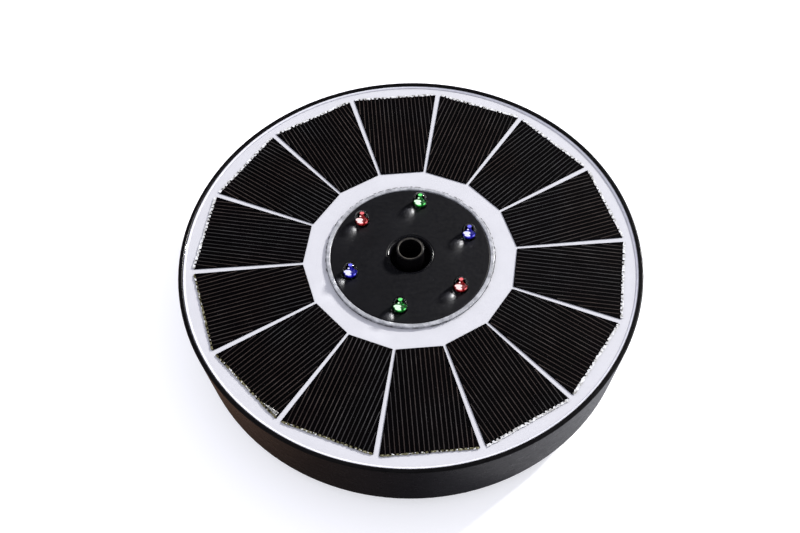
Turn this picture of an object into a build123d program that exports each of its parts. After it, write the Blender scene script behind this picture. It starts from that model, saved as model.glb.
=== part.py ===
"""Floating fountain pump: a round solar float with a ring of lights, a centre spout and a small pump below.

Origin: centre of the strainer's foot, on the surface that it stands on. +Z is up, +Y is the back.
All sizes are millimetres.
"""
from build123d import *
from math import cos, radians, sin
import os

os.makedirs("parts", exist_ok=True)

# ---- driving dimensions -------------------------------------------------------------------------

# float shell
rim_r = 80.0                # outer radius at the rim
foot_r = 78.0               # outer radius at the foot of the tapered wall
float_bottom = 8.0
rim_top = 35.0
rim_width = 1.6
deck_top = 32.7
deck_under = 30.7
wall_inner_r = 76.0

# wet well under the middle, where the pump hangs
well_r = 38.0
well_wall = 1.8
light_cup_floor = 29.5
light_cup_under = 28.0
light_cup_r = 26.9

# centre trim
plate_r = 27.6
ring_r_in = 27.7
ring_r_out = 29.1
plate_seat = 33.2
plate_top = 35.0
ring_top = 35.2

# spout and the recess round it
recess_r = 8.0
recess_wall = 1.4
recess_floor = 27.6
recess_under = 26.1
spout_r = 4.8
spout_bore_r = 3.95
spout_top = 38.6
socket_r = 4.6
socket_outer_r = 6.4
socket_top = 27.0
socket_bottom = 24.0

# solar panel
cell_count = 14
cell_phase = 3.7            # direction of one of the gaps between cells, in degrees
cell_corner_in = 37.2       # radius of the polygon that the cells' inner edges lie on
cell_corner_out = 74.9
gap_in = 1.0
gap_out = 2.0
backing_top = 34.0
cell_thick = 0.25
cell_top = backing_top + cell_thick
ribbon_width = 1.1
ribbon_thick = 0.15
resin_top = 34.55
meniscus = 0.25             # how far the resin climbs at its two edges

# lights
led_count = 6
led_phase = 20.0
led_circle_r = 21.9
led_r = 2.5
led_flange_r = 2.9
led_board_under = 30.2
led_board_top = 31.4
led_length = 8.8

# pump, with its shaft along X
pump_y = 5.0
pump_z = 13.8
can_r = 10.0
can_inner_r = 9.0
can_back = -28.0
tube_r = 5.0                # inside of the dry tube that the rotor runs in
tube_wall = 0.8
tube_back = -24.0
volute_r = 9.6
chamber_r = 8.2
chamber_back = -3.5
chamber_front = 4.5
outlet_r = 4.4
outlet_bore_r = 3.1
outlet_top = 26.6
strap_bottom = 21.0
strap_top = 23.0
outlet_groove_z = 24.7
outlet_groove_r = 3.7
outlet_groove_width = 1.1
pump_ear = 11.4             # volute screws, to either side of the shaft
pump_ear_r = 2.6
pump_lead_z = 17.3
shaft_r = 1.0
bush_r = 2.2
intake_r = 5.2
cover_plate_thick = 1.4
sleeve_back = -22.2         # back end of the impeller's sleeve
impeller_r = 6.8
magnet_r = 4.5
magnet_length = 13.6

# strainer
cage_r = 37.6
cage_wall = 1.6
cage_floor = 1.4
cage_floor_thick = 1.4
cage_top = 11.5
grip_r = 42.0
grip_bottom = 6.4
grip_top = 7.8

# control board and button, over the underside at the left
board_x = -56.0
board_under = 19.3
board_thick = 1.6
button_x = -58.0
button_r = 4.8
button_stem_r = 2.0
button_stem_top = 14.0

# fasteners and leads
cover_screw_circle = 70.0
cover_screw_r = 1.5
cover_boss_r = 3.2
cover_screw_depth = 13.0    # blind hole in each boss
board_post_y = 17.0
board_post_r = 2.6
board_pilot_r = 0.9
strap_x = -16.0
strap_screw_y = 14.0        # from the pump's axis
strap_post_r = 3.0
strap_pilot_r = 1.1
light_pad_circle = 14.0
light_pad_r = 1.5
grommet_hole_r = 2.4
lead_r = 0.6
lead_spacing = 1.4


def ring_points(corner_r, index):
    """Corner of the cells' polygon at the end of the gap with this index."""
    angle = radians(cell_phase + index * 360.0 / cell_count)
    return Vector(corner_r * cos(angle), corner_r * sin(angle))


def finish(piece, label):
    """Name a piece and write it as its own STEP file."""
    piece.label = label
    export_step(piece, f"parts/{label}.step")


# ---- float shell --------------------------------------------------------------------------------

wall_top_inner_r = wall_inner_r + 1.6
resin_r = rim_r - rim_width - 0.05

with BuildPart() as upper_housing:
    with BuildSketch(Plane.XZ):
        with BuildLine():
            Polyline(
                (foot_r, float_bottom + 0.4),
                (rim_r, rim_top),
                (rim_r - rim_width, rim_top),
                (rim_r - rim_width, deck_top),
                (ring_r_out, deck_top),
                (ring_r_out, plate_seat),
                (light_cup_r, plate_seat),
                (light_cup_r, light_cup_floor),
                (recess_r + recess_wall, light_cup_floor),
                (recess_r + recess_wall, plate_seat),
                (recess_r, plate_seat),
                (recess_r, recess_floor),
                (spout_r, recess_floor),
                (spout_r, spout_top),
                (spout_bore_r, spout_top),
                (spout_bore_r, socket_top),
                (socket_r, socket_top),
                (socket_r, socket_bottom),
                (socket_outer_r, socket_bottom),
                (socket_outer_r, recess_under),
                (recess_r + recess_wall, recess_under),
                (recess_r + recess_wall, light_cup_under),
                (ring_r_out, light_cup_under),
                (ring_r_out, deck_under),
                (well_r, deck_under),
                (well_r, float_bottom + 0.2),
                (well_r + well_wall, float_bottom + 0.2),
                (well_r + well_wall, deck_under),
                (wall_top_inner_r, deck_under),
                (wall_inner_r, float_bottom + 4.0),
                (wall_inner_r, float_bottom),
                (foot_r - 0.4, float_bottom),
                close=True,
            )
        make_face()
    revolve(axis=Axis.Z)
    # soften the rim and the spout's lip
    rim_edges = upper_housing.edges().filter_by(GeomType.CIRCLE).filter_by_position(
        Axis.Z, rim_top - 0.01, rim_top + 0.01
    )
    fillet(rim_edges, 0.45)
    lip_edges = upper_housing.edges().filter_by(GeomType.CIRCLE).filter_by_position(
        Axis.Z, spout_top - 0.01, spout_top + 0.01
    )
    fillet(lip_edges, 0.3)
    # bosses for the cover screws, from the deck down to the cover
    with BuildSketch(Plane.XY.offset(float_bottom + 2.0)):
        with PolarLocations(cover_screw_circle, 6, start_angle=30):
            Circle(cover_boss_r)
    extrude(until=Until.NEXT)
    with BuildSketch(Plane.XY.offset(float_bottom + 2.0)):
        with PolarLocations(cover_screw_circle, 6, start_angle=30):
            Circle(cover_screw_r)
    extrude(amount=cover_screw_depth, mode=Mode.SUBTRACT)
    # posts that carry the control board
    with BuildSketch(Plane.XY.offset(board_under + board_thick)):
        with Locations((board_x, board_post_y), (board_x, -board_post_y)):
            Circle(board_post_r)
    extrude(until=Until.NEXT)
    with BuildSketch(Plane.XY.offset(board_under + board_thick)):
        with Locations((board_x, board_post_y), (board_x, -board_post_y)):
            Circle(board_pilot_r)
    extrude(amount=7, mode=Mode.SUBTRACT)
    # posts that the pump's strap is screwed to
    with BuildSketch(Plane.XY.offset(strap_top)):
        with Locations((strap_x, pump_y + strap_screw_y), (strap_x, pump_y - strap_screw_y)):
            Circle(strap_post_r)
    extrude(until=Until.NEXT)
    with BuildSketch(Plane.XY.offset(strap_top)):
        with Locations((strap_x, pump_y + strap_screw_y), (strap_x, pump_y - strap_screw_y)):
            Circle(strap_pilot_r)
    extrude(amount=4.4, mode=Mode.SUBTRACT)
    # pads under the light board
    with BuildSketch(Plane.XY.offset(light_cup_floor)):
        with PolarLocations(light_pad_circle, 3, start_angle=90):
            Circle(light_pad_r)
    extrude(amount=led_board_under - light_cup_floor)
    # hole in the deck for the panel and light leads, and the covered groove that leads to it
    with BuildSketch(Plane.XY.offset(deck_under)):
        with Locations((-50, 0)):
            SlotOverall(12, 4.4)
    extrude(amount=deck_top - deck_under, mode=Mode.SUBTRACT)
    with BuildSketch(Plane.XY.offset(led_board_top)):
        with Locations((-36, 0)):
            Rectangle(22, 3.0)
    extrude(amount=deck_top - led_board_top, mode=Mode.SUBTRACT)
    # hole in the well's wall for the pump lead's grommet
    with BuildSketch(Plane.YZ.offset(-well_r - 4)):
        with Locations((pump_y, pump_lead_z)):
            Circle(grommet_hole_r)
    extrude(amount=8, mode=Mode.SUBTRACT)
finish(upper_housing.part, "upper_housing")

cover_under = float_bottom + 0.2
cover_top = float_bottom + 2.0
cover_r_in = well_r + well_wall + 0.1
cover_r_out = wall_inner_r - 0.1
battery_y = 56.6
battery_z = 20.4
battery_r = 9.2

with BuildPart() as bottom_cover:
    with BuildSketch(Plane.XZ):
        with BuildLine():
            Polyline(
                (cover_r_in, cover_under),
                (cover_r_out, cover_under),
                (cover_r_out, cover_top + 0.6),
                (75.4, cover_top + 0.6),
                (75.4, cover_top + 1.0),
                (74.4, cover_top + 1.0),
                (74.4, cover_top + 2.8),
                (75.4, cover_top + 2.8),
                (75.4, cover_top + 3.6),
                (73.4, cover_top + 3.6),
                (73.4, cover_top),
                (42.4, cover_top),
                (42.4, cover_top + 3.6),
                (40.2, cover_top + 3.6),
                (40.2, cover_top + 2.8),
                (41.2, cover_top + 2.8),
                (41.2, cover_top + 1.0),
                (cover_r_in, cover_top + 1.0),
                close=True,
            )
        make_face()
    revolve(axis=Axis.Z)
    # saddles under the battery cell
    with BuildSketch(Plane.XY.offset(cover_top)):
        with Locations((20, battery_y), (-20, battery_y)):
            Rectangle(2.4, 17)
    extrude(amount=6)
    with BuildSketch(Plane.YZ.offset(-30)):
        with Locations((battery_y, battery_z)):
            Circle(battery_r + 0.05)
    extrude(amount=60, mode=Mode.SUBTRACT)
    # clearance for the screw bosses in the upstand, then the countersunk screw holes
    with BuildSketch(Plane.XY.offset(cover_top)):
        with PolarLocations(cover_screw_circle, 6, start_angle=30):
            Circle(cover_boss_r + 0.1)
    extrude(amount=5, mode=Mode.SUBTRACT)
    with Locations(Plane.XY.offset(cover_under) * Rot(X=180)):
        with PolarLocations(cover_screw_circle, 6, start_angle=30):
            CounterSinkHole(radius=1.7, counter_sink_radius=3.1, depth=4)
    # button hole, and the round wall that locates the button's boot
    with BuildSketch(Plane.XY.offset(cover_under)):
        with Locations((button_x, 0)):
            Circle(button_r + 0.2)
    extrude(amount=cover_top - cover_under, mode=Mode.SUBTRACT)
    with BuildSketch(Plane.XY.offset(cover_top)):
        with Locations((button_x, 0)):
            Circle(9.6)
            Circle(8.6, mode=Mode.SUBTRACT)
    extrude(amount=1.6)
    # radial stiffening ribs
    with BuildSketch(Plane.XY.offset(cover_top)):
        with PolarLocations(58, 6, start_angle=0):
            Rectangle(28, 1.4)
        with Locations((button_x, 0)):
            Rectangle(32, 22, mode=Mode.SUBTRACT)
    extrude(amount=1.0)
finish(bottom_cover.part, "bottom_cover")

with BuildPart() as cover_screw:
    with BuildSketch(Plane.XZ):
        with BuildLine():
            Polyline(
                (0, cover_under + 0.9),
                (0.5, cover_under + 0.2),
                (2.8, cover_under + 0.2),
                (cover_screw_r, cover_under + 1.5),
                (cover_screw_r, cover_top + 11.5),
                (0, cover_top + 13),
                close=True,
            )
        make_face()
    revolve(axis=Axis.Z)
with BuildPart() as cover_screws:
    with PolarLocations(cover_screw_circle, 6, start_angle=30):
        add(cover_screw.part)
finish(cover_screws.part, "cover_screws")

with BuildPart() as perimeter_o_ring:
    with BuildSketch(Plane.XZ):
        with Locations((75.2, cover_top + 1.9)):
            Circle(0.78)
    revolve(axis=Axis.Z)
finish(perimeter_o_ring.part, "perimeter_o_ring")

with BuildPart() as well_o_ring:
    with BuildSketch(Plane.XZ):
        with Locations((40.5, cover_top + 1.9)):
            Circle(0.68)
    revolve(axis=Axis.Z)
finish(well_o_ring.part, "well_o_ring")

# ---- solar panel --------------------------------------------------------------------------------

with BuildPart() as cell_backing:
    with BuildSketch(Plane.XY.offset(deck_top)):
        Circle(resin_r)
        Circle(ring_r_out + 0.1, mode=Mode.SUBTRACT)
    extrude(amount=backing_top - deck_top)
finish(cell_backing.part, "cell_backing")


def cell_outline(index, inset_in, inset_out):
    """The four corners of one cell: a trapezoid between two gaps that widen outwards."""
    corners = []
    for corner_r, half_gap, inset in (
        (cell_corner_in, gap_in / 2, inset_in),
        (cell_corner_out, gap_out / 2, -inset_out),
    ):
        left = ring_points(corner_r, index + 1)
        right = ring_points(corner_r, index)
        along = (left - right).normalized()
        outwards = ((left + right) * 0.5).normalized()
        corners.append(right + along * half_gap + outwards * inset)
        corners.append(left - along * half_gap + outwards * inset)
    return corners[0], corners[2], corners[3], corners[1]


cells = []
for index in range(cell_count):
    # the cells are laid by hand, so each sits a little differently
    slip_in = 0.15 * sin(2.1 * index + 0.4)
    slip_out = 0.25 + 0.2 * sin(1.7 * index)
    with BuildPart() as solar_cell:
        with BuildSketch(Plane.XY.offset(backing_top)):
            Polygon(*cell_outline(index, slip_in, slip_out), align=None)
        extrude(amount=cell_thick)
    cells.append(solar_cell.part)
    finish(solar_cell.part, f"solar_cell_{index + 1:02d}")

with BuildPart() as cell_ribbons:
    for index in range(cell_count):
        inner_right, outer_right, outer_left, inner_left = cell_outline(index, 0, 0.5)
        inwards = ((outer_left + outer_right) * -0.5).normalized()
        along = (outer_left - outer_right).normalized()
        start = outer_right + along * 1.0
        end = outer_left - along * 1.0
        with BuildSketch(Plane.XY.offset(cell_top)):
            Polygon(start, end, end + inwards * ribbon_width, start + inwards * ribbon_width, align=None)
        extrude(amount=ribbon_thick)
finish(cell_ribbons.part, "cell_ribbons")

with BuildPart() as resin_cover:
    with BuildSketch(Plane.XZ):
        with BuildLine():
            Polyline(
                (ring_r_out + 0.1, backing_top),
                (resin_r, backing_top),
                (resin_r, resin_top + meniscus),
            )
            RadiusArc((resin_r, resin_top + meniscus), (resin_r - 1.0, resin_top), -2.0)
            Line((resin_r - 1.0, resin_top), (ring_r_out + 0.9, resin_top))
            RadiusArc((ring_r_out + 0.9, resin_top), (ring_r_out + 0.1, resin_top + meniscus), -2.0)
            Line((ring_r_out + 0.1, resin_top + meniscus), (ring_r_out + 0.1, backing_top))
        make_face()
    revolve(axis=Axis.Z)
    add(cells, mode=Mode.SUBTRACT)
    add(cell_ribbons.part, mode=Mode.SUBTRACT)
finish(resin_cover.part, "resin_cover")

# ---- centre plate, clear ring and lights --------------------------------------------------------

with BuildPart() as centre_plate:
    with BuildSketch(Plane.XY.offset(plate_seat)):
        Circle(plate_r)
        Circle(recess_r + 0.02, mode=Mode.SUBTRACT)
        with PolarLocations(led_circle_r, led_count, start_angle=led_phase):
            Circle(led_r + 0.1, mode=Mode.SUBTRACT)
    extrude(amount=plate_top - plate_seat)
    top_edges = centre_plate.edges().filter_by(GeomType.CIRCLE).group_by(Axis.Z)[-1]
    fillet(top_edges.filter_by(lambda edge: edge.radius > led_r + 1), 0.35)
finish(centre_plate.part, "centre_plate")

with BuildPart() as centre_ring:
    with BuildSketch(Plane.XY.offset(plate_seat)):
        Circle(ring_r_out)
        Circle(ring_r_in, mode=Mode.SUBTRACT)
    extrude(amount=ring_top - plate_seat)
    fillet(centre_ring.edges().group_by(Axis.Z)[-1], 0.3)
finish(centre_ring.part, "centre_ring")

for index in range(led_count):
    angle = radians(led_phase + index * 360.0 / led_count)
    centre = (led_circle_r * cos(angle), led_circle_r * sin(angle))
    with BuildPart() as led:
        with BuildSketch(Plane.XY.offset(led_board_top)):
            with Locations(centre):
                Circle(led_flange_r)
        extrude(amount=1.0)
        with BuildSketch(Plane.XY.offset(led_board_top)):
            with Locations(centre):
                Circle(led_r)
        extrude(amount=led_length)
        fillet(led.edges().group_by(Axis.Z)[-1], led_r - 0.05)
    finish(led.part, f"led_{index + 1}")

with BuildPart() as led_legs:
    with BuildSketch(Plane.XY.offset(led_board_under - 0.4)):
        with PolarLocations(led_circle_r, led_count, start_angle=led_phase):
            with Locations((0, 1.27), (0, -1.27)):
                Circle(0.28)
    extrude(amount=led_board_top - led_board_under + 0.4)
finish(led_legs.part, "led_legs")

with BuildPart() as led_board:
    with BuildSketch(Plane.XY.offset(led_board_under)):
        Circle(26.4)
        Circle(10.2, mode=Mode.SUBTRACT)
        with PolarLocations(led_circle_r, led_count, start_angle=led_phase):
            with Locations((0, 1.27), (0, -1.27)):
                Circle(0.3, mode=Mode.SUBTRACT)
    extrude(amount=led_board_top - led_board_under)
    # one small resistor beside each light
    with BuildSketch(Plane.XY.offset(led_board_top)):
        with PolarLocations(15, led_count, start_angle=led_phase):
            Rectangle(1.6, 3.2)
    extrude(amount=0.6)
finish(led_board.part, "led_board")

# ---- battery, control board and button ----------------------------------------------------------

battery_half = 32.5
with BuildPart() as battery_cell:
    with BuildSketch(Plane.YZ.offset(-battery_half)):
        with Locations((battery_y, battery_z)):
            Circle(battery_r)
    extrude(amount=2 * battery_half)
    fillet(battery_cell.edges().filter_by(GeomType.CIRCLE), 0.6)
    with BuildSketch(Plane.YZ.offset(battery_half)):
        with Locations((battery_y, battery_z)):
            Circle(3.2)
    extrude(amount=1.0)
finish(battery_cell.part, "battery_cell")

board_top = board_under + board_thick
with BuildPart() as control_board:
    with BuildSketch(Plane.XY.offset(board_under)):
        with Locations((board_x, 0)):
            RectangleRounded(25, 41, 1.5)
        with Locations((board_x, board_post_y), (board_x, -board_post_y)):
            Circle(1.0, mode=Mode.SUBTRACT)
    extrude(amount=board_thick)
finish(control_board.part, "control_board")

lead_drop_x = -47.0
with BuildPart() as board_components:
    # inductor, capacitor, driver chip and charging chip
    with BuildSketch(Plane.XY.offset(board_top)):
        with Locations((-63, 10)):
            Circle(3.2)
    extrude(amount=4.2)
    with BuildSketch(Plane.XY.offset(board_top)):
        with Locations((-63, 1)):
            Circle(2.5)
    extrude(amount=6.0)
    with BuildSketch(Plane.XY.offset(board_top)):
        with Locations((-55, -8)):
            Rectangle(4, 5)
        with Locations((-63, -9)):
            Rectangle(4, 5)
    extrude(amount=1.5)
    # sockets for the leads from the lights, the panel and the battery
    with BuildSketch(Plane.XY.offset(board_top)):
        with Locations((lead_drop_x, 0)):
            Rectangle(4.6, 5.6)
        with Locations((lead_drop_x - 6, 0)):
            Rectangle(4.6, 5.6)
        with Locations((-49.5, 16)):
            Rectangle(5.6, 4.6)
    extrude(amount=3.6)
    # socket for the pump's leads, under the board
    with BuildSketch(Plane.XY.offset(board_under - 3.8)):
        with Locations((-47, pump_y)):
            Rectangle(5, 5.6)
    extrude(amount=3.8)
finish(board_components.part, "board_components")

with BuildPart() as board_screws:
    with BuildSketch(Plane.XY.offset(board_under - 1.3)):
        with Locations((board_x, board_post_y), (board_x, -board_post_y)):
            Circle(1.9)
    extrude(amount=1.3)
    with BuildSketch(Plane.XY.offset(board_under)):
        with Locations((board_x, board_post_y), (board_x, -board_post_y)):
            Circle(board_pilot_r - 0.02)
    extrude(amount=7.0)
    with BuildSketch(Plane.XY.offset(board_under - 1.3)):
        with Locations((board_x, board_post_y), (board_x, -board_post_y)):
            Rectangle(2.4, 0.5)
            Rectangle(0.5, 2.4)
    extrude(amount=0.7, mode=Mode.SUBTRACT)
finish(board_screws.part, "board_screws")

with BuildPart() as push_switch:
    with BuildSketch(Plane.XY.offset(board_under - 3.4)):
        with Locations((button_x, 0)):
            Rectangle(6, 6)
    extrude(amount=3.4)
    with BuildSketch(Plane.XY.offset(board_under - 4.3)):
        with Locations((button_x, 0)):
            Circle(1.7)
    extrude(amount=0.9)
finish(push_switch.part, "push_switch")

with BuildPart() as power_button:
    with BuildSketch(Plane.XZ):
        with BuildLine():
            Polyline(
                (0, float_bottom),
                (button_r - 0.5, float_bottom),
                (button_r, float_bottom + 0.5),
                (button_r, cover_top + 0.3),
                (button_r + 1.2, cover_top + 0.3),
                (button_r + 1.2, cover_top + 1.1),
                (button_stem_r, cover_top + 1.1),
                (button_stem_r, button_stem_top),
                (0, button_stem_top),
                close=True,
            )
        make_face()
    revolve(axis=Axis.Z)
    # raised ring on the face that a finger feels
    with BuildSketch(Plane.XY.offset(float_bottom)):
        Circle(2.6)
        Circle(2.0, mode=Mode.SUBTRACT)
    extrude(amount=0.3, mode=Mode.SUBTRACT)
power_button.part.locate(Location((button_x, 0, 0)))
finish(power_button.part, "power_button")

with BuildPart() as button_boot:
    with BuildSketch(Plane.XZ):
        with BuildLine():
            Polyline(
                (6.6, cover_top),
                (8.5, cover_top),
                (8.5, cover_top + 0.9),
                (7.5, cover_top + 0.9),
                (7.5, cover_top + 3.4),
                (button_stem_r + 0.08, cover_top + 3.4),
                (button_stem_r + 0.08, cover_top + 2.5),
                (6.6, cover_top + 2.5),
                close=True,
            )
        make_face()
    revolve(axis=Axis.Z)
button_boot.part.locate(Location((button_x, 0, 0)))
finish(button_boot.part, "button_boot")

# ---- leads --------------------------------------------------------------------------------------


def lead(points, radii):
    """One insulated wire along straight runs joined by tangent arcs."""
    with BuildPart() as wire:
        with BuildLine() as route:
            if radii:
                FilletPolyline(*points, radius=radii)
            else:
                Line(*points)
        with BuildSketch(Plane(origin=route.line @ 0, z_dir=route.line % 0)):
            Circle(lead_r)
        sweep()
    return wire.part


def lead_pair(name, points, radii, offset):
    """Two wires side by side, in one node."""
    with BuildPart() as pair:
        for side in (-lead_spacing / 2, lead_spacing / 2):
            add(lead([Vector(*point) + Vector(*offset) * side for point in points], radii))
    finish(pair.part, name)


lead_pair(
    "panel_leads",
    [(lead_drop_x - 6, 0, deck_top), (lead_drop_x - 6, 0, board_top + 3.6)],
    None,
    (0, 1, 0),
)
lead_pair(
    "led_leads",
    [
        (-23, 0, led_board_top + lead_r),
        (lead_drop_x, 0, led_board_top + lead_r),
        (lead_drop_x, 0, board_top + 3.6),
    ],
    2.2,
    (0, 1, 0),
)
lead_pair(
    "pump_leads",
    [(can_back, pump_y, pump_lead_z), (-44.5, pump_y, pump_lead_z)],
    None,
    (0, 1, 0),
)
lead_pair(
    "battery_leads",
    [(-battery_half, 58, 22), (-46, 58, 22), (-49.5, 42, 22.8), (-49.5, 18.3, 22.8)],
    4.5,
    (0, 0, 1),
)

grommet_plane = Plane(origin=(-well_r, pump_y, pump_lead_z), x_dir=(0, 1, 0), z_dir=(-1, 0, 0))
with BuildPart() as lead_grommet:
    with BuildSketch(grommet_plane.offset(-0.6)):
        Circle(grommet_hole_r - 0.02)
    extrude(amount=3.4)
    with BuildSketch(grommet_plane.offset(-3)):
        with Locations((-lead_spacing / 2, 0), (lead_spacing / 2, 0)):
            Circle(lead_r + 0.02)
    extrude(amount=10, mode=Mode.SUBTRACT)
finish(lead_grommet.part, "lead_grommet")

# ---- pump ---------------------------------------------------------------------------------------

shaft_plane = Plane(origin=(0, pump_y, pump_z), x_dir=(0, 1, 0), z_dir=(1, 0, 0))
back_plate = chamber_back - 1.4
tube_outer_r = tube_r + tube_wall

with BuildPart() as pump_body:
    with BuildSketch(shaft_plane.offset(can_back)):
        Circle(can_r)
    extrude(amount=back_plate - can_back)
    with BuildSketch(shaft_plane.offset(back_plate)):
        Circle(volute_r)
        with Locations((pump_ear, 0), (-pump_ear, 0)):
            Circle(pump_ear_r)
        Rectangle(2 * pump_ear, 3.6)
    extrude(amount=chamber_front - back_plate)
    # outlet tube, straight up out of the volute, with a groove for its O-ring
    with BuildSketch(Plane.XY.offset(pump_z)):
        Circle(outlet_r)
    extrude(amount=outlet_top - pump_z)
    with BuildSketch(Plane.XY.offset(outlet_groove_z)):
        Circle(outlet_r + 1)
        Circle(outlet_groove_r, mode=Mode.SUBTRACT)
    extrude(amount=outlet_groove_width, mode=Mode.SUBTRACT)
    # strap across the can with its two screw ears
    with BuildSketch(Plane.XY.offset(strap_bottom)):
        with Locations((strap_x, pump_y)):
            SlotOverall(35, 7, rotation=90)
    extrude(amount=strap_top - strap_bottom)
    with BuildSketch(Plane.XY.offset(strap_bottom)):
        with Locations((strap_x, pump_y + strap_screw_y), (strap_x, pump_y - strap_screw_y)):
            Circle(1.3)
    extrude(amount=strap_top - strap_bottom, mode=Mode.SUBTRACT)
    # winding space
    with BuildSketch(shaft_plane.offset(can_back)):
        Circle(can_inner_r)
        Circle(tube_outer_r, mode=Mode.SUBTRACT)
    extrude(amount=back_plate - 0.6 - can_back, mode=Mode.SUBTRACT)
    with BuildSketch(shaft_plane.offset(can_back)):
        Circle(tube_outer_r)
    extrude(amount=tube_back - 1.0 - can_back, mode=Mode.SUBTRACT)
    # rotor tube and impeller chamber
    with BuildSketch(shaft_plane.offset(tube_back)):
        Circle(tube_r)
    extrude(amount=chamber_front - tube_back, mode=Mode.SUBTRACT)
    with BuildSketch(shaft_plane.offset(chamber_back)):
        Circle(chamber_r)
    extrude(amount=chamber_front - chamber_back, mode=Mode.SUBTRACT)
    with BuildSketch(Plane.XY.offset(pump_z)):
        Circle(outlet_bore_r)
    extrude(amount=outlet_top - pump_z, mode=Mode.SUBTRACT)
    # holes for the volute screws
    with BuildSketch(shaft_plane.offset(back_plate + 1)):
        with Locations((pump_ear, 0), (-pump_ear, 0)):
            Circle(0.9)
    extrude(amount=chamber_front - back_plate, mode=Mode.SUBTRACT)
    # seat for the rear bush
    with BuildSketch(shaft_plane.offset(tube_back)):
        Circle(bush_r + 1)
        Circle(bush_r, mode=Mode.SUBTRACT)
    extrude(amount=1.4)
finish(pump_body.part, "pump_body")

stator_back = -24.0
stator_front = -10.0
with BuildPart() as stator_core:
    with BuildSketch(shaft_plane.offset(stator_back)):
        Circle(can_inner_r - 0.05)
        Circle(can_inner_r - 0.95, mode=Mode.SUBTRACT)
        with PolarLocations(7.2, 4, start_angle=45):
            Rectangle(2.2, 2.2)
    extrude(amount=stator_front - stator_back)
finish(stator_core.part, "stator_core")

with BuildPart() as stator_coils:
    with BuildSketch(shaft_plane.offset(stator_back - 1.2)):
        with PolarLocations(6.95, 4, start_angle=45):
            Rectangle(1.4, 4.4)
    extrude(amount=stator_front - stator_back + 2.4)
    with BuildSketch(shaft_plane.offset(stator_back)):
        with PolarLocations(7.2, 4, start_angle=45):
            Rectangle(2.4, 2.24)
    extrude(amount=stator_front - stator_back, mode=Mode.SUBTRACT)
finish(stator_coils.part, "stator_coils")

board_back = tube_back - 2.4
with BuildPart() as driver_board:
    with BuildSketch(shaft_plane.offset(board_back)):
        Circle(can_inner_r - 0.1)
    extrude(amount=0.9)
    with BuildSketch(shaft_plane.offset(board_back - 0.9)):
        with Locations((3.5, -2.5)):
            Rectangle(3, 3)
        with Locations((-3.5, -2.5)):
            Rectangle(2, 3)
    extrude(amount=0.9)
finish(driver_board.part, "driver_board")

with BuildPart() as potting:
    with BuildSketch(shaft_plane.offset(can_back)):
        Circle(can_inner_r - 0.02)
    extrude(amount=board_back - 0.02 - can_back)
    with BuildSketch(shaft_plane.offset(board_back - 0.92)):
        with Locations((3.5, -2.5)):
            Rectangle(3.04, 3.04)
        with Locations((-3.5, -2.5)):
            Rectangle(2.04, 3.04)
    extrude(amount=1.0, mode=Mode.SUBTRACT)
    with BuildSketch(shaft_plane.offset(can_back)):
        with Locations((-0.7, pump_lead_z - pump_z), (0.7, pump_lead_z - pump_z)):
            Circle(lead_r + 0.02)
    extrude(amount=0.6, mode=Mode.SUBTRACT)
finish(potting.part, "potting")

with BuildPart() as volute_cover:
    with BuildSketch(shaft_plane.offset(chamber_front)):
        Circle(volute_r)
        with Locations((pump_ear, 0), (-pump_ear, 0)):
            Circle(pump_ear_r)
        Rectangle(2 * pump_ear, 3.6)
        Circle(intake_r, mode=Mode.SUBTRACT)
    extrude(amount=cover_plate_thick)
    # intake collar
    with BuildSketch(shaft_plane.offset(chamber_front)):
        Circle(intake_r + 1)
        Circle(intake_r, mode=Mode.SUBTRACT)
    extrude(amount=4.4)
    # three spokes that hold the front bush
    with BuildSketch(shaft_plane.offset(chamber_front)):
        with PolarLocations(3.9, 3, start_angle=90):
            Rectangle(3.4, 0.9)
        Circle(2.9)
    extrude(amount=2.0)
    with BuildSketch(shaft_plane.offset(chamber_front)):
        Circle(2.0)
    extrude(amount=1.6, mode=Mode.SUBTRACT)
    with BuildSketch(shaft_plane.offset(chamber_front)):
        with Locations((pump_ear, 0), (-pump_ear, 0)):
            Circle(1.1)
    extrude(amount=cover_plate_thick, mode=Mode.SUBTRACT)
finish(volute_cover.part, "volute_cover")

with BuildPart() as volute_screws:
    with BuildSketch(shaft_plane.offset(chamber_front + cover_plate_thick)):
        with Locations((pump_ear, 0), (-pump_ear, 0)):
            Circle(1.8)
    extrude(amount=1.2)
    with BuildSketch(shaft_plane.offset(back_plate + 1.6)):
        with Locations((pump_ear, 0), (-pump_ear, 0)):
            Circle(0.88)
    extrude(amount=chamber_front + cover_plate_thick - back_plate - 1.6)
    with BuildSketch(shaft_plane.offset(chamber_front + 2.0)):
        with Locations((pump_ear, 0), (-pump_ear, 0)):
            Rectangle(2.2, 0.5)
            Rectangle(0.5, 2.2)
    extrude(amount=0.7, mode=Mode.SUBTRACT)
finish(volute_screws.part, "volute_screws")

with BuildPart() as pump_screws:
    with BuildSketch(Plane.XY.offset(strap_bottom - 1.4)):
        with Locations((strap_x, pump_y + strap_screw_y), (strap_x, pump_y - strap_screw_y)):
            Circle(2.3)
    extrude(amount=1.4)
    with BuildSketch(Plane.XY.offset(strap_bottom)):
        with Locations((strap_x, pump_y + strap_screw_y), (strap_x, pump_y - strap_screw_y)):
            Circle(1.08)
    extrude(amount=6.2)
    with BuildSketch(Plane.XY.offset(strap_bottom - 1.4)):
        with Locations((strap_x, pump_y + strap_screw_y), (strap_x, pump_y - strap_screw_y)):
            Rectangle(2.8, 0.6)
            Rectangle(0.6, 2.8)
    extrude(amount=0.8, mode=Mode.SUBTRACT)
finish(pump_screws.part, "pump_screws")

with BuildPart() as outlet_o_ring:
    with BuildSketch(Plane.XZ):
        with Locations((outlet_groove_r + 0.44, outlet_groove_z + outlet_groove_width / 2)):
            Circle(0.43)
    revolve(axis=Axis.Z)
finish(outlet_o_ring.part, "outlet_o_ring")

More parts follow.
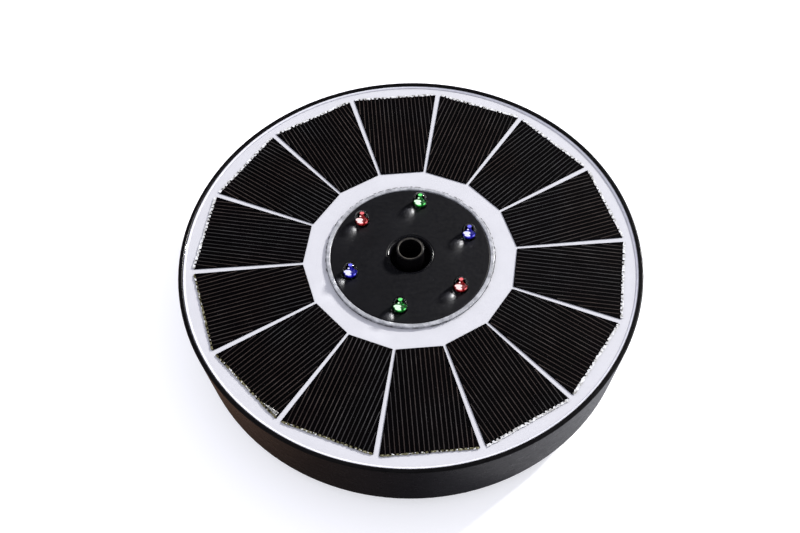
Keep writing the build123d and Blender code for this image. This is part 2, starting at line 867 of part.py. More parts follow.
with BuildPart() as impeller:
    with BuildSketch(shaft_plane.offset(sleeve_back)):
        Circle(bush_r)
    extrude(amount=chamber_front - 0.5 - sleeve_back)
    with BuildSketch(shaft_plane.offset(chamber_back + 0.5)):
        Circle(impeller_r)
    extrude(amount=1.0)
    # six curved blades
    for step in range(6):
        turn = radians(60 * step)
        blade_plane = Plane(
            origin=(chamber_back + 1.5, pump_y, pump_z), x_dir=(0, cos(turn), sin(turn)), z_dir=(1, 0, 0)
        )
        with BuildSketch(blade_plane):
            with BuildLine():
                RadiusArc((1.8, 0.3), (6.6, 2.0), 6.0)
                Line((6.6, 2.0), (6.7, 1.2))
                RadiusArc((6.7, 1.2), (1.8, -0.4), -6.6)
                Line((1.8, -0.4), (1.8, 0.3))
            make_face()
        extrude(amount=4.4)
    with BuildSketch(shaft_plane.offset(sleeve_back)):
        Circle(shaft_r + 0.06)
    extrude(amount=40, mode=Mode.SUBTRACT)
finish(impeller.part, "impeller")

with BuildPart() as rotor_magnet:
    with BuildSketch(shaft_plane.offset(sleeve_back + 0.4)):
        Circle(magnet_r)
        Circle(bush_r, mode=Mode.SUBTRACT)
    extrude(amount=magnet_length)
finish(rotor_magnet.part, "rotor_magnet")

with BuildPart() as pump_shaft:
    with BuildSketch(shaft_plane.offset(tube_back)):
        Circle(shaft_r)
    extrude(amount=chamber_front + 1.6 - tube_back)
    chamfer(pump_shaft.edges().filter_by(GeomType.CIRCLE), 0.15)
finish(pump_shaft.part, "pump_shaft")

with BuildPart() as shaft_bushes:
    with BuildSketch(shaft_plane.offset(tube_back)):
        Circle(bush_r - 0.02)
        Circle(shaft_r, mode=Mode.SUBTRACT)
    extrude(amount=1.4)
    with BuildSketch(shaft_plane.offset(chamber_front + 0.02)):
        Circle(1.98)
        Circle(shaft_r, mode=Mode.SUBTRACT)
    extrude(amount=1.56)
finish(shaft_bushes.part, "shaft_bushes")

# ---- strainer -----------------------------------------------------------------------------------

with BuildPart() as strainer_cage:
    with BuildSketch(Plane.XZ):
        with BuildLine():
            Polyline(
                (0, cage_floor),
                (cage_r - 2.4, cage_floor),
                (cage_r - 2.4, 0),
                (cage_r, 0),
                (cage_r, grip_bottom),
                (grip_r, grip_bottom),
                (grip_r, grip_top),
                (cage_r, grip_top),
                (cage_r, cage_top),
                (cage_r - cage_wall, cage_top),
                (cage_r - cage_wall, cage_floor + cage_floor_thick),
                (0, cage_floor + cage_floor_thick),
                close=True,
            )
        make_face()
    revolve(axis=Axis.Z)
    grip_edges = strainer_cage.edges().filter_by(GeomType.CIRCLE)
    fillet(grip_edges.filter_by(lambda edge: abs(edge.radius - grip_r) < 0.01), 0.5)
    # intake slots round the wall
    with BuildSketch(Plane.XY.offset(cage_floor + cage_floor_thick + 0.4)):
        with PolarLocations(cage_r, 36):
            Rectangle(6, 2.6)
    extrude(amount=grip_bottom - 0.8 - cage_floor - cage_floor_thick, mode=Mode.SUBTRACT)
    # intake slots in the floor
    with BuildSketch(Plane.XY):
        with PolarLocations(22, 24):
            SlotOverall(22, 2.2)
    extrude(amount=5, mode=Mode.SUBTRACT)
    # notches that let water in under the foot
    with BuildSketch(Plane.XY):
        with PolarLocations(cage_r, 6, start_angle=15):
            Rectangle(8, 12)
    extrude(amount=cage_floor - 0.4, mode=Mode.SUBTRACT)
    # guide ribs that steady the cage in the well
    with BuildSketch(Plane.XY.offset(grip_top)):
        with PolarLocations(cage_r - 0.1, 6, start_angle=0):
            Rectangle(0.6, 2.0)
    extrude(amount=cage_top - grip_top - 0.6)
finish(strainer_cage.part, "strainer_cage")

sponge_bottom = cage_floor + cage_floor_thick + 0.1
with BuildPart() as filter_sponge:
    with BuildSketch(Plane.XY.offset(sponge_bottom)):
        Circle(cage_r - cage_wall - 0.3)
    extrude(amount=7.6)
    # opening that the pump hangs in
    with BuildSketch(Plane.XY.offset(sponge_bottom)):
        with Locations((-10, pump_y)):
            RectangleRounded(42, 24, 3)
    extrude(amount=10, mode=Mode.SUBTRACT)
finish(filter_sponge.part, "filter_sponge")
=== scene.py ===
"""Looks for the floating fountain pump. Lengths are in metres, in the CAD model's own frame."""
import math
import random

import bmesh
import bpy
from mathutils import Matrix, Vector


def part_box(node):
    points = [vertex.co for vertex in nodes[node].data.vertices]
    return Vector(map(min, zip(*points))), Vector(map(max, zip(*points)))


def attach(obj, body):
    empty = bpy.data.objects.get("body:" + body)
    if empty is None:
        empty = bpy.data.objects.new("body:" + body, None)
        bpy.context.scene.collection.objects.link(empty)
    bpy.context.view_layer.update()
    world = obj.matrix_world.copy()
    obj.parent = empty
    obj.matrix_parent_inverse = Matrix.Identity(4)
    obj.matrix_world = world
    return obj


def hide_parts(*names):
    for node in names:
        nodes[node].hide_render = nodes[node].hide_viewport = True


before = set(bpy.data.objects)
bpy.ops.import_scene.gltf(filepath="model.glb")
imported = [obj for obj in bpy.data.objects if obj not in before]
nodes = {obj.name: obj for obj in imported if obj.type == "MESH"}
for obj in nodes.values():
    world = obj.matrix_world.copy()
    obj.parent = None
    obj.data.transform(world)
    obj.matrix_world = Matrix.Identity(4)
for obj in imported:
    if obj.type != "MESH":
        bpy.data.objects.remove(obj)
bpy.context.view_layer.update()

MM = 0.001


# ---- camera -------------------------------------------------------------------------------------

AIM_HEIGHT = 34.0 * MM                   # level near the panel's face, where the camera and key light aim
CAMERA_ELEVATION = math.radians(56.43)
CAMERA_ROLL = math.radians(-1.18)
CAMERA_DISTANCE = 365.3 * MM
CAMERA_SENSOR = 36.0                     # sensor width and focal length, in camera millimetres
CAMERA_LENS = 47.448
CAMERA_SHIFT = (-0.01295, -0.0133625)    # puts the panel's centre slightly right of and above the middle


def make_camera():
    """Stands the camera in front of and above the panel, looking down at its centre."""
    data = bpy.data.cameras.new("camera")
    data.sensor_width = CAMERA_SENSOR
    data.lens = CAMERA_LENS
    data.shift_x, data.shift_y = CAMERA_SHIFT
    data.clip_start = 0.01
    data.clip_end = 20
    camera = bpy.data.objects.new("camera", data)
    bpy.context.scene.collection.objects.link(camera)
    back = Vector((0, -math.cos(CAMERA_ELEVATION), math.sin(CAMERA_ELEVATION)))
    right = Vector((1, 0, 0))
    up = back.cross(right)
    level = Matrix((right, up, back)).transposed()
    roll = Matrix.Rotation(CAMERA_ROLL, 3, "Z")
    place = Vector((0, 0, AIM_HEIGHT)) + back * CAMERA_DISTANCE
    camera.matrix_world = Matrix.Translation(place) @ (level @ roll).to_4x4()
    bpy.context.scene.camera = camera


make_camera()


# ---- material helpers ---------------------------------------------------------------------------


class Shader:
    """A material's node tree, with short calls for the nodes that the finishes below share."""

    def __init__(self, name, **values):
        self.material = bpy.data.materials.new(name)
        self.material.use_nodes = True
        self.tree = self.material.node_tree
        self.tree.nodes.clear()
        self.output = self.tree.nodes.new("ShaderNodeOutputMaterial")
        self.bsdf = self.tree.nodes.new("ShaderNodeBsdfPrincipled")
        self.link(self.bsdf.outputs["BSDF"], self.output.inputs["Surface"])
        for socket, value in values.items():
            self.bsdf.inputs[socket.replace("_", " ")].default_value = value

    def link(self, source, target):
        self.tree.links.new(source, target)

    def node(self, kind, **inputs):
        made = self.tree.nodes.new(kind)
        for socket, value in inputs.items():
            made.inputs[socket].default_value = value
        return made

    def position(self, scale=(1, 1, 1)):
        """Object coordinates in millimetres, so that every texture scale below is per millimetre."""
        coordinates = self.tree.nodes.new("ShaderNodeTexCoord")
        mapping = self.node("ShaderNodeMapping")
        mapping.inputs["Scale"].default_value = [1000 * s for s in scale]
        self.link(coordinates.outputs["Object"], mapping.inputs["Vector"])
        return mapping.outputs["Vector"]

    def noise(self, scale, detail=3.0, roughness=0.5, stretch=(1, 1, 1)):
        texture = self.node("ShaderNodeTexNoise", Scale=scale, Detail=detail, Roughness=roughness)
        self.link(self.position(stretch), texture.inputs["Vector"])
        return texture.outputs["Fac"]

    def voronoi(self, scale, feature="F1", randomness=1.0):
        texture = self.node("ShaderNodeTexVoronoi", Scale=scale, Randomness=randomness)
        texture.feature = feature
        self.link(self.position(), texture.inputs["Vector"])
        return texture.outputs["Distance"]

    def ramp(self, source, stops):
        """Maps a 0 to 1 value to colours: stops is a list of (position, (r, g, b))."""
        ramp = self.tree.nodes.new("ShaderNodeValToRGB")
        while len(ramp.color_ramp.elements) < len(stops):
            ramp.color_ramp.elements.new(0.5)
        for element, (place, colour) in zip(ramp.color_ramp.elements, stops):
            element.position = place
            element.color = (*colour, 1)
        self.link(source, ramp.inputs["Fac"])
        return ramp.outputs["Color"]

    def spread(self, source, low, high, start=0.0, end=1.0):
        """Maps a value between start and end to low and high."""
        node = self.node("ShaderNodeMapRange")
        node.inputs["From Min"].default_value = start
        node.inputs["From Max"].default_value = end
        node.inputs["To Min"].default_value = low
        node.inputs["To Max"].default_value = high
        self.link(source, node.inputs["Value"])
        return node.outputs["Result"]

    def mix(self, factor, a, b):
        """Mixes two colours, each a socket or an (r, g, b)."""
        node = self.tree.nodes.new("ShaderNodeMix")
        node.data_type = "RGBA"
        for value, index in ((factor, 0), (a, 6), (b, 7)):
            if isinstance(value, tuple):
                node.inputs[index].default_value = (*value, 1)
            elif isinstance(value, float):
                node.inputs[index].default_value = value
            else:
                self.link(value, node.inputs[index])
        return node.outputs[2]

    def bump(self, height, distance, strength=1.0):
        """Adds a bump of the given height in metres."""
        node = self.node("ShaderNodeBump", Strength=strength, Distance=distance)
        previous = self.bsdf.inputs["Normal"]
        if previous.is_linked:
            self.link(previous.links[0].from_socket, node.inputs["Normal"])
        self.link(height, node.inputs["Height"])
        self.link(node.outputs["Normal"], previous)

    def colour(self, socket):
        self.link(socket, self.bsdf.inputs["Base Color"])

    def roughness(self, socket):
        self.link(socket, self.bsdf.inputs["Roughness"])


def dress(material, *names):
    """Gives CAD nodes a material in every slot."""
    for name in names:
        slots = nodes[name].data.materials
        if len(slots) == 0:
            slots.append(material)
        for index in range(len(slots)):
            slots[index] = material


def flat_faces(*names):
    """Shades each CAD face by its own shape, where the imported normals lean over from a neighbour."""
    for name in names:
        modifier = nodes[name].modifiers.new("face_normals", "WEIGHTED_NORMAL")
        modifier.mode = "FACE_AREA"
        modifier.weight = 100


# ---- finishes -----------------------------------------------------------------------------------


def moulded_plastic(name, dark, light, gloss=0.36, grain=0.012 * MM, coarse=0.9):
    """Satin injection-moulded plastic: fine grain, faint flow marks and rubbed patches."""
    s = Shader(name, Specular_IOR_Level=0.4)
    patches = s.noise(0.05, 4, 0.6)
    s.colour(s.ramp(patches, [(0.3, dark), (0.75, light)]))
    rubbed = s.noise(0.35, 5, 0.65, stretch=(1, 1, 1.4))
    s.roughness(s.spread(rubbed, gloss - 0.04, gloss + 0.08, 0.3, 0.7))
    s.bump(s.noise(coarse * 4, 4, 0.6), grain)
    return s.material


def shell_plastic():
    """Near-black satin plastic, with a painted tan grey highlight along the inner edge of the spout's lip."""
    spout_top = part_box("upper_housing")[1].z / MM
    highlight_low, highlight_high = spout_top - 0.5, spout_top - 0.2      # heights between which the painted highlight starts
    highlight_inner, highlight_outer = 4.25, 4.5                          # radii between which it ends
    s = Shader("shell_plastic", Specular_IOR_Level=0.22)
    black = s.ramp(s.noise(0.05, 4, 0.6), [(0.3, (0.0016, 0.0015, 0.0018)), (0.75, (0.0032, 0.0029, 0.0032))])
    # painted highlight: this tan grey colour stands in for light caught on the spout's lip
    rubbed = s.ramp(s.noise(0.28, 3, 0.6), [(0.35, (0.016, 0.015, 0.014)), (0.65, (0.085, 0.078, 0.064))])
    split = s.tree.nodes.new("ShaderNodeSeparateXYZ")
    s.link(s.position(), split.inputs["Vector"])
    reach = s.tree.nodes.new("ShaderNodeVectorMath")
    reach.operation = "LENGTH"
    s.link(s.position((1, 1, 0)), reach.inputs[0])
    lip = s.mix(s.spread(reach.outputs["Value"], 1.0, 0.0, highlight_inner, highlight_outer), black, rubbed)
    s.colour(s.mix(s.spread(split.outputs["Z"], 0.0, 1.0, highlight_low, highlight_high), black, lip))
    s.roughness(s.spread(s.noise(0.35, 5, 0.65, stretch=(1, 1, 1.4)), 0.24, 0.36, 0.3, 0.7))
    s.bump(s.noise(3.6, 4, 0.6), 0.012 * MM)
    return s.material


def centre_plate_plastic():
    """Black satin sheet with hairline scuffs and a little dust."""
    s = Shader("centre_plate_plastic", Specular_IOR_Level=0.24)
    base = s.ramp(s.noise(0.12, 4, 0.6), [(0.3, (0.0016, 0.0016, 0.0028)), (0.75, (0.0030, 0.0030, 0.0047))])
    scuffs = s.noise(0.5, 6, 0.75, stretch=(0.3, 2.2, 1))
    scuffed = s.mix(s.spread(scuffs, 0.0, 0.5, 0.58, 0.8), base, (0.014, 0.014, 0.017))
    dust = s.voronoi(0.55)
    s.colour(s.mix(s.spread(dust, 0.4, 0.0, 0.0, 0.09), scuffed, (0.05, 0.05, 0.056)))
    s.roughness(s.spread(s.noise(0.8, 5, 0.7), 0.38, 0.56, 0.3, 0.7))
    s.bump(s.noise(3.5, 4, 0.6), 0.012 * MM)
    s.bump(scuffs, 0.01 * MM)
    return s.material


def glossy_black():
    """Black plastic, polished so that it catches the light."""
    s = Shader("glossy_black", Specular_IOR_Level=0.55)
    worn = s.noise(0.4, 4, 0.6)
    s.colour(s.ramp(worn, [(0.3, (0.0014, 0.0014, 0.0022)), (0.75, (0.0034, 0.0034, 0.0046))]))
    s.roughness(s.spread(worn, 0.2, 0.32, 0.3, 0.7))
    s.bump(s.noise(3.0, 4, 0.6), 0.012 * MM)
    return s.material


def backing_sheet():
    """Cool white sheet with faint mottling and a few specks caught under the resin."""
    s = Shader("backing_sheet", Roughness=0.75, Specular_IOR_Level=0.05)
    mottled = s.ramp(s.noise(0.22, 5, 0.6), [(0.3, (0.430, 0.43, 0.445)), (0.7, (0.450, 0.45, 0.465))])
    speck = s.voronoi(0.32)
    s.colour(s.mix(s.spread(speck, 0.7, 0.0, 0.0, 0.07), mottled, (0.3, 0.31, 0.36)))
    return s.material


def white_sealant():
    """Smooth white sealant, brighter than the sheet it lies on."""
    s = Shader("white_sealant", Specular_IOR_Level=0.2)
    lumps = s.noise(0.5, 4, 0.6)
    s.colour(s.ramp(lumps, [(0.3, (0.49, 0.49, 0.52)), (0.7, (0.58, 0.58, 0.61))]))
    s.roughness(s.spread(lumps, 0.45, 0.65, 0.3, 0.7))
    s.bump(lumps, 0.05 * MM)
    return s.material


def solar_silicon():
    """Near-black textured silicon with a slight brown and violet drift from place to place."""
    s = Shader("solar_silicon", Specular_IOR_Level=0.02)
    drift = s.noise(0.09, 3, 0.55)
    s.colour(s.ramp(drift, [
        (0.3, (0.0003, 0.0002, 0.0003)), (0.55, (0.0006, 0.0004, 0.0005)), (0.8, (0.0010, 0.0006, 0.0006)),
    ]))
    s.roughness(s.spread(s.noise(2.0, 4, 0.6), 0.42, 0.6, 0.3, 0.7))
    s.bump(s.noise(8.0, 2, 0.5), 0.004 * MM)
    return s.material


def finger_silver():
    """Thin printed silver lines, dulled to grey by the resin over them, and brown in places."""
    s = Shader("finger_silver", Roughness=0.5, Specular_IOR_Level=0.1)
    drift = s.noise(0.16, 4, 0.6)
    grey = s.ramp(drift, [
        (0.3, (0.017, 0.016, 0.016)), (0.55, (0.029, 0.028, 0.028)), (0.8, (0.055, 0.053, 0.053)),
    ])
    brown = s.ramp(drift, [
        (0.3, (0.017, 0.012, 0.011)), (0.55, (0.029, 0.021, 0.018)), (0.8, (0.055, 0.044, 0.040)),
    ])
    s.colour(s.mix(s.spread(s.noise(0.03, 2, 0.5), 0.0, 1.0, 0.42, 0.58), grey, brown))
    return s.material


def bright_ribbon():
    """Tinned strip under resin: near white, with cream flux and a few dark specks."""
    s = Shader("bright_ribbon", Specular_IOR_Level=0.2)
    stain = s.noise(0.7, 6, 0.8)
    s.colour(s.ramp(stain, [
        (0.34, (0.03, 0.029, 0.025)), (0.42, (0.20, 0.195, 0.175)), (0.50, (0.46, 0.46, 0.45)),
        (0.62, (0.70, 0.71, 0.72)),
    ]))
    s.roughness(s.spread(s.noise(1.4, 5, 0.7), 0.2, 0.5, 0.3, 0.7))
    return s.material


def dull_ribbon():
    """Thin olive strip of flux and solder with bright beads."""
    s = Shader("dull_ribbon", Specular_IOR_Level=0.3)
    stain = s.noise(1.1, 6, 0.8)
    s.colour(s.ramp(stain, [
        (0.35, (0.020, 0.018, 0.008)), (0.50, (0.075, 0.068, 0.030)), (0.60, (0.20, 0.19, 0.12)),
        (0.72, (0.62, 0.62, 0.56)),
    ]))
    s.roughness(s.spread(s.noise(1.4, 5, 0.7), 0.2, 0.5, 0.3, 0.7))
    return s.material


def foil_silver():
    """Creased bright foil."""
    s = Shader("foil_silver", Metallic=0.8)
    crease = s.noise(1.2, 6, 0.8)
    s.colour(s.ramp(crease, [
        (0.35, (0.06, 0.06, 0.06)), (0.5, (0.42, 0.42, 0.41)), (0.65, (0.9, 0.9, 0.88)),
    ]))
    s.roughness(s.spread(crease, 0.25, 0.5, 0.3, 0.7))
    s.bump(crease, 0.15 * MM)
    return s.material


def clear_resin():
    """Clear resin that light passes straight through, with the gloss of its outer side on top."""
    s = Shader("panel_resin")
    clear = s.node("ShaderNodeBsdfTransparent")
    gloss = s.node("ShaderNodeBsdfGlossy", Roughness=0.03)
    fresnel = s.node("ShaderNodeFresnel", IOR=1.5)
    geometry = s.tree.nodes.new("ShaderNodeNewGeometry")
    outside = s.spread(geometry.outputs["Backfacing"], 1.0, 0.0)
    facing = s.tree.nodes.new("ShaderNodeMath")
    facing.operation = "MULTIPLY"
    s.link(fresnel.outputs["Fac"], facing.inputs[0])
    s.link(outside, facing.inputs[1])
    mixer = s.tree.nodes.new("ShaderNodeMixShader")
    s.link(facing.outputs[0], mixer.inputs[0])
    s.link(clear.outputs["BSDF"], mixer.inputs[1])
    s.link(gloss.outputs["BSDF"], mixer.inputs[2])
    s.link(mixer.outputs["Shader"], s.output.inputs["Surface"])
    bump = s.node("ShaderNodeBump", Strength=1.0, Distance=0.06 * MM)
    s.link(s.noise(0.07, 2, 0.4), bump.inputs["Height"])
    s.link(bump.outputs["Normal"], gloss.inputs["Normal"])
    s.tree.nodes.remove(s.bsdf)
    return s.material


def frosted_ring():
    """Milky plastic, mottled in light greys."""
    s = Shader("frosted_ring", Roughness=0.22, IOR=1.49)
    s.colour(s.ramp(s.noise(0.45, 5, 0.7), [
        (0.3, (0.15, 0.15, 0.16)), (0.5, (0.26, 0.265, 0.275)), (0.75, (0.46, 0.465, 0.48)),
    ]))
    s.bump(s.noise(1.5, 4, 0.6), 0.03 * MM)
    return s.material


def lens_epoxy():
    """Clear epoxy with a breath of blue."""
    s = Shader("lens_epoxy", Roughness=0.0, IOR=1.5, Transmission_Weight=1.0)
    s.bsdf.inputs["Base Color"].default_value = (0.96, 0.97, 0.98, 1)
    return s.material


def led_glow(name, colour, strength):
    """Colour that glows inside a lens: the deep glow of the LED's body, and its painted highlights."""
    s = Shader(name, Roughness=0.35, Emission_Strength=strength)
    s.bsdf.inputs["Base Color"].default_value = (*(0.04 * c for c in colour), 1)
    s.bsdf.inputs["Emission Color"].default_value = (*colour, 1)
    return s.material


def plain_metal(name, dark, light, roughness=0.3, brushed=(1, 1, 1)):
    """Metal with fine streaks."""
    s = Shader(name, Metallic=1.0)
    streaks = s.noise(1.5, 5, 0.65, stretch=brushed)
    s.colour(s.ramp(streaks, [(0.3, dark), (0.7, light)]))
    s.roughness(s.spread(streaks, roughness - 0.08, roughness + 0.12, 0.3, 0.7))
    s.bump(streaks, 0.01 * MM)
    return s.material


def soft_rubber(name, dark, light):
    """Matt rubber with a faint bloom."""
    s = Shader(name)
    bloom = s.noise(0.6, 5, 0.7)
    s.colour(s.ramp(bloom, [(0.3, dark), (0.75, light)]))
    s.roughness(s.spread(bloom, 0.6, 0.85, 0.3, 0.7))
    s.bump(s.noise(5.0, 4, 0.6), 0.02 * MM)
    return s.material


def circuit_board():
    """Green solder mask with traces showing as slightly lighter lines."""
    s = Shader("circuit_board")
    cells = s.voronoi(0.5, "DISTANCE_TO_EDGE", 0.3)
    mask = s.ramp(s.noise(0.4, 3, 0.5), [(0.3, (0.008, 0.075, 0.03)), (0.7, (0.012, 0.11, 0.045))])
    s.colour(s.mix(s.spread(cells, 0.75, 0.0, 0.0, 0.06), mask, (0.03, 0.2, 0.09)))
    s.roughness(s.spread(s.noise(1.5, 4, 0.6), 0.22, 0.38, 0.3, 0.7))
    s.bump(cells, 0.03 * MM)
    return s.material


def open_cell_foam():
    """Dark reticulated foam: a mesh of pores of about a millimetre."""
    s = Shader("open_cell_foam", Roughness=0.95)
    pores = s.voronoi(0.9)
    s.colour(s.ramp(pores, [
        (0.15, (0.002, 0.002, 0.002)), (0.45, (0.016, 0.016, 0.017)), (0.8, (0.045, 0.045, 0.048)),
    ]))
    s.bump(pores, 0.5 * MM)
    return s.material


def ferrite():
    """Sintered magnet: dark grey with fine pits."""
    s = Shader("ferrite", Metallic=0.2)
    pits = s.voronoi(3.0)
    s.colour(s.ramp(s.noise(0.8, 4, 0.6), [(0.3, (0.02, 0.02, 0.022)), (0.7, (0.045, 0.045, 0.05))]))
    s.roughness(s.spread(pits, 0.7, 0.45))
    s.bump(pits, 0.02 * MM)
    return s.material


# ---- mesh helpers -------------------------------------------------------------------------------


def add_mesh(name, mesh_maker, materials, body, smooth=True):
    """Builds a mesh with bmesh, gives it its materials and fixes it to a CAD body."""
    made = bmesh.new()
    mesh_maker(made)
    bmesh.ops.remove_doubles(made, verts=made.verts, dist=1e-8)
    bmesh.ops.recalc_face_normals(made, faces=made.faces)
    mesh = bpy.data.meshes.new(name)
    made.to_mesh(mesh)
    made.free()
    if smooth:
        mesh.polygons.foreach_set("use_smooth", [True] * len(mesh.polygons))
    for material in materials if isinstance(materials, (list, tuple)) else (materials,):
        mesh.materials.append(material)
    piece = bpy.data.objects.new(name, mesh)
    bpy.context.scene.collection.objects.link(piece)
    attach(piece, body)
    return piece


def lathe(made, profile, centre=(0, 0), segments=48):
    """Turns a profile of (radius, height) points about a vertical axis. A radius of 0 closes an end."""
    rings = []
    for radius, height in profile:
        if radius <= 0:
            rings.append([made.verts.new((centre[0], centre[1], height))])
            continue
        ring = []
        for step in range(segments):
            turn = 2 * math.pi * step / segments
            ring.append(made.verts.new(
                (centre[0] + radius * math.cos(turn), centre[1] + radius * math.sin(turn), height)
            ))
        rings.append(ring)
    for low, high in zip(rings, rings[1:]):
        for step in range(segments):
            following = (step + 1) % segments
            corners = [low[step % len(low)]]
            if len(low) > 1:
                corners.append(low[following])
            if len(high) > 1:
                corners.append(high[following])
            corners.append(high[step % len(high)])
            made.faces.new(corners)


def block(made, corners_low, corners_high):
    """A closed prism between two outlines with the same number of corners."""
    low = [made.verts.new(c) for c in corners_low]
    high = [made.verts.new(c) for c in corners_high]
    made.faces.new(low[::-1])
    made.faces.new(high)
    count = len(low)
    for index in range(count):
        after = (index + 1) % count
        made.faces.new((low[index], low[after], high[after], high[index]))


# ---- carried-over CAD nodes ---------------------------------------------------------------------

SHELL = shell_plastic()
PUMP = moulded_plastic("pump_plastic", (0.010, 0.010, 0.011), (0.018, 0.018, 0.019), 0.42)
CAGE = moulded_plastic("cage_plastic", (0.009, 0.009, 0.0095), (0.016, 0.016, 0.017), 0.44, 0.02 * MM)
COMPONENT = moulded_plastic("component_plastic", (0.012, 0.012, 0.012), (0.03, 0.03, 0.03), 0.4)
BUTTON = moulded_plastic("button_plastic", (0.05, 0.05, 0.055), (0.08, 0.08, 0.085), 0.4)
IMPELLER = moulded_plastic("impeller_plastic", (0.55, 0.55, 0.52), (0.7, 0.7, 0.67), 0.35)
CERAMIC = moulded_plastic("shaft_ceramic", (0.72, 0.71, 0.68), (0.82, 0.81, 0.79), 0.15, 0.002 * MM)
POTTING = moulded_plastic("potting_resin", (0.008, 0.008, 0.009), (0.014, 0.014, 0.015), 0.15, 0.05 * MM, 0.1)
WRAP = moulded_plastic("battery_wrap", (0.02, 0.10, 0.22), (0.03, 0.14, 0.3), 0.25, 0.005 * MM)
SEAL = soft_rubber("seal_rubber", (0.008, 0.008, 0.008), (0.02, 0.02, 0.02))
LEAD = soft_rubber("lead_insulation", (0.25, 0.012, 0.01), (0.36, 0.02, 0.016))
STEEL = plain_metal("screw_steel", (0.42, 0.42, 0.43), (0.62, 0.62, 0.63), 0.3)
TIN = plain_metal("tinned_leg", (0.55, 0.55, 0.55), (0.75, 0.75, 0.74), 0.3)
LAMINATED = plain_metal("laminated_steel", (0.2, 0.2, 0.21), (0.34, 0.34, 0.35), 0.4, (8, 0.3, 0.3))
COPPER = plain_metal("enamelled_copper", (0.45, 0.14, 0.05), (0.72, 0.28, 0.12), 0.25, (0.3, 6, 6))
CELL_NAMES = sorted(name for name in nodes if name.startswith("solar_cell_"))

flat_faces("centre_plate", "centre_ring", "strainer_cage", "cover_screws", "battery_cell")
dress(SHELL, "upper_housing", "bottom_cover")
dress(centre_plate_plastic(), "centre_plate")
dress(backing_sheet(), "cell_backing")
dress(frosted_ring(), "centre_ring")
dress(solar_silicon(), *CELL_NAMES)
dress(PUMP, "pump_body", "volute_cover")
dress(CAGE, "strainer_cage")
dress(COMPONENT, "board_components", "push_switch")
dress(BUTTON, "power_button")
dress(IMPELLER, "impeller")
dress(CERAMIC, "pump_shaft")
dress(POTTING, "potting")
dress(WRAP, "battery_cell")
dress(SEAL, "perimeter_o_ring", "well_o_ring", "outlet_o_ring", "lead_grommet", "button_boot", "shaft_bushes")
dress(LEAD, "panel_leads", "led_leads", "pump_leads", "battery_leads")
dress(STEEL, "cover_screws", "board_screws", "pump_screws", "volute_screws")
dress(TIN, "led_legs")
dress(LAMINATED, "stator_core")
dress(COPPER, "stator_coils")
dress(circuit_board(), "led_board", "control_board", "driver_board")
dress(ferrite(), "rotor_magnet")


# ---- solar cells --------------------------------------------------------------------------------

FINGER_PITCH = 1.52 * MM
FINGER_WIDTH = 0.26 * MM
FINGER_HEIGHT = 0.03 * MM
RIBBON_HEIGHT = 0.12 * MM
RIBBON_STEPS = 60
DULL_EDGES = (8, 9, 10, 11)      # cells whose soldered edge is thin and stained, numbered from 1
FOIL_CELL = "solar_cell_09"      # the cell with a loose end of ribbon over its outer corner


def cell_corners(name):
    """The top face's corners of one cell: inner right, outer right, outer left, inner left."""
    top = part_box(name)[1].z
    corners = {}
    for vertex in nodes[name].data.vertices:
        if abs(vertex.co.z - top) < 1e-6:
            corners[(round(vertex.co.x, 7), round(vertex.co.y, 7))] = Vector((vertex.co.x, vertex.co.y))
    centre = sum(corners.values(), Vector((0, 0))) / len(corners)
    outwards = centre.normalized()
    across = Vector((-outwards.y, outwards.x))
    ordered = sorted(corners.values(), key=lambda c: c.dot(outwards))
    inner = sorted(ordered[:2], key=lambda c: c.dot(across))
    outer = sorted(ordered[-2:], key=lambda c: c.dot(across))
    return inner[0], outer[0], outer[1], inner[1]


def outer_edge(name):
    """One cell's outer edge: its right end, its direction, the way out from the panel and its length."""
    _, outer_right, outer_left, _ = cell_corners(name)
    edge = outer_left - outer_right
    along = edge.normalized()
    return outer_right, along, Vector((along.y, -along.x)), edge.length


def finger_lines(made, name, dice):
    """Printed lines parallel to the cell's middle, from its inner edge or slanted side to its outer edge."""
    inner_right, outer_right, outer_left, inner_left = cell_corners(name)
    outwards = ((inner_left + inner_right) / 2).normalized()
    across = Vector((-outwards.y, outwards.x))
    near, far = inner_left.dot(outwards), outer_left.dot(outwards)
    half_near = (inner_left - inner_right).length / 2
    half_far = (outer_left - outer_right).length / 2
    middle = (outer_left + outer_right).dot(across) / 2
    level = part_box(name)[1].z + 0.005 * MM
    corner_margin, side_margin, inner_margin = 0.4 * MM, 0.35 * MM, 0.3 * MM
    count = int((half_far - corner_margin) / FINGER_PITCH)
    for line in range(-count, count + 1):
        aside = line * FINGER_PITCH + dice.uniform(-0.04, 0.04) * MM
        reach = max(0.0, (abs(aside) + side_margin - half_near) / (half_far - half_near))
        start = near + inner_margin + reach * (far - near)
        width = FINGER_WIDTH * dice.uniform(0.8, 1.15) / 2
        outline = []
        for along, side in ((start, -width), (far, -width), (far, width), (start, width)):
            place = outwards * along + across * (middle + aside + side)
            outline.append((place.x, place.y))
        block(made, [(x, y, level) for x, y in outline], [(x, y, level + FINGER_HEIGHT) for x, y in outline])


def ribbon_strip(made, low, high, material_index):
    """Closes a strip, given an outer and an inner point at each step of its underside and of its top."""
    faces = []
    for step in range(RIBBON_STEPS):
        for row in (high, low):
            faces.append((row[step][0], row[step + 1][0], row[step + 1][1], row[step][1]))
        faces.append((low[step][0], low[step + 1][0], high[step + 1][0], high[step][0]))
        faces.append((high[step][1], high[step + 1][1], low[step + 1][1], low[step][1]))
    faces.append((low[0][0], high[0][0], high[0][1], low[0][1]))
    faces.append((low[-1][1], high[-1][1], high[-1][0], low[-1][0]))
    for corners in faces:
        made.faces.new(corners).material_index = material_index


